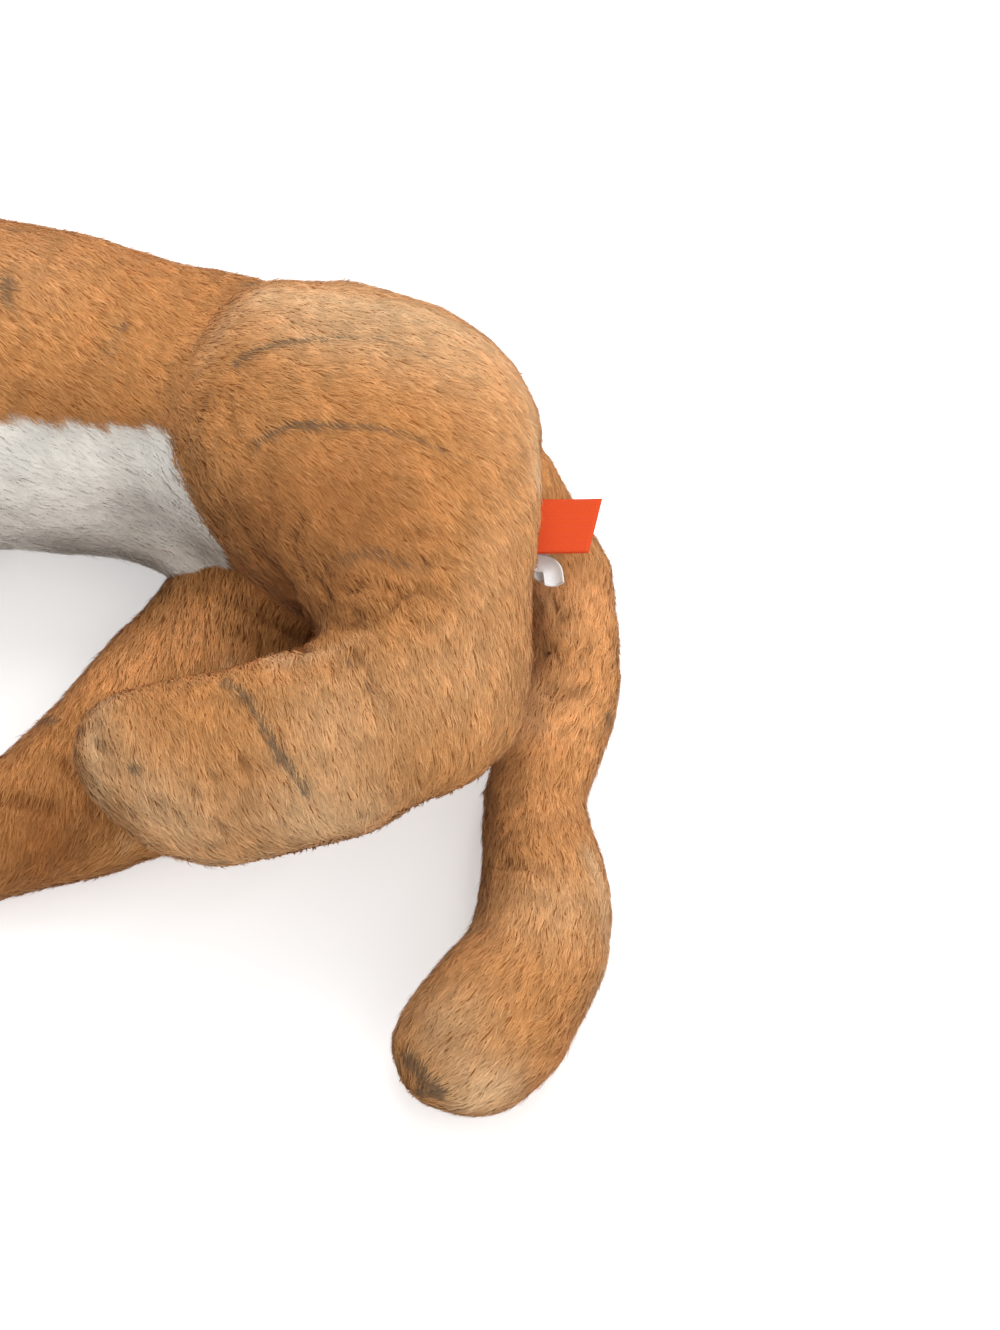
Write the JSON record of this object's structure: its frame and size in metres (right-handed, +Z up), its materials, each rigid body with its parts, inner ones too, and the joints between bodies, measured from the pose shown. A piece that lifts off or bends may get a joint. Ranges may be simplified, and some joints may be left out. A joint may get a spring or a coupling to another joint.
{
  "type": "plush tiger",
  "caption": "Plush tiger lying on its side: sewn orange and white panels over stuffing, with soft hips, shoulders, neck and tail, eyes, nose and seam labels.",
  "frame": {"origin": "on the floor, in the flat under the trunk where the lying toy rests", "axes": "+Z up, -Y towards the head, +X towards the belly and the feet"},
  "size_m": [0.2511, 0.4236, 0.1331],
  "materials": {
    "orange_plush": "matte",
    "white_plush": "matte",
    "filling": "matte",
    "ear_lining": "matte",
    "dark_plastic": "gloss",
    "nose_plastic": "satin",
    "clear_plastic": "satin",
    "dark_thread": "matte",
    "red_label": "satin",
    "white_label": "satin"
  },
  "bodies": {
    "torso": {"torso_stuffing": "filling", "back_panel_left": "orange_plush", "back_panel_right": "orange_plush", "belly_panel": "white_plush", "rump_gusset": "orange_plush", "seam_label": "red_label", "care_label_long": "white_label", "care_label_short": "white_label"},
    "left_hind_leg": {"left_hind_outer_panel": "orange_plush", "left_hind_inner_panel": "orange_plush", "left_hind_stuffing": "filling"},
    "right_hind_leg": {"right_hind_outer_panel": "orange_plush", "right_hind_inner_panel": "orange_plush", "right_hind_stuffing": "filling"},
    "left_front_leg": {"left_front_outer_panel": "orange_plush", "left_front_inner_panel": "orange_plush", "left_front_stuffing": "filling"},
    "right_front_leg": {"right_front_outer_panel": "orange_plush", "right_front_inner_panel": "orange_plush", "right_front_stuffing": "filling"},
    "tail": {"tail_skin": "orange_plush", "tail_stuffing": "filling"},
    "head": {"head_stuffing": "filling", "head_panel_left": "orange_plush", "head_panel_right": "orange_plush", "muzzle_panel": "white_plush", "left_ear_back": "orange_plush", "right_ear_back": "orange_plush", "left_ear_lining": "ear_lining", "right_ear_lining": "ear_lining", "left_eye": "dark_plastic", "right_eye": "dark_plastic", "left_eye_washer": "clear_plastic", "right_eye_washer": "clear_plastic", "nose": "nose_plastic", "nose_washer": "clear_plastic", "mouth_thread": "dark_thread"}
  },
  "joints": [
    {"name": "left_hip", "type": "hinge", "parent": "torso", "child": "left_hind_leg", "pos_m": [0.00861, 0.076, 0.051], "axis": [0.2079, 0, 0.9781], "range_deg": [-22, 15]},
    {"name": "right_hip", "type": "hinge", "parent": "torso", "child": "right_hind_leg", "pos_m": [0.00861, 0.076, 0], "axis": [0, 0, 1], "range_deg": [-2.5, 10]},
    {"name": "left_shoulder", "type": "hinge", "parent": "torso", "child": "left_front_leg", "pos_m": [0.01546, -0.0785, 0.04954], "axis": [0.2079, 0, 0.9781], "range_deg": [-8, 12]},
    {"name": "right_shoulder", "type": "hinge", "parent": "torso", "child": "right_front_leg", "pos_m": [0.01561, -0.0785, 0], "axis": [0, 0, 1], "range_deg": [-10, 12]},
    {"name": "tail_root", "type": "hinge", "parent": "torso", "child": "tail", "pos_m": [-0.00539, 0.12, 0.0512], "axis": [0, 0, 1], "range_deg": [-6, 40]},
    {"name": "neck", "type": "hinge", "parent": "torso", "child": "head", "pos_m": [0.00861, -0.12, 0.051], "axis": [0, 1, 0], "range_deg": [-20, 20]}
  ]
}
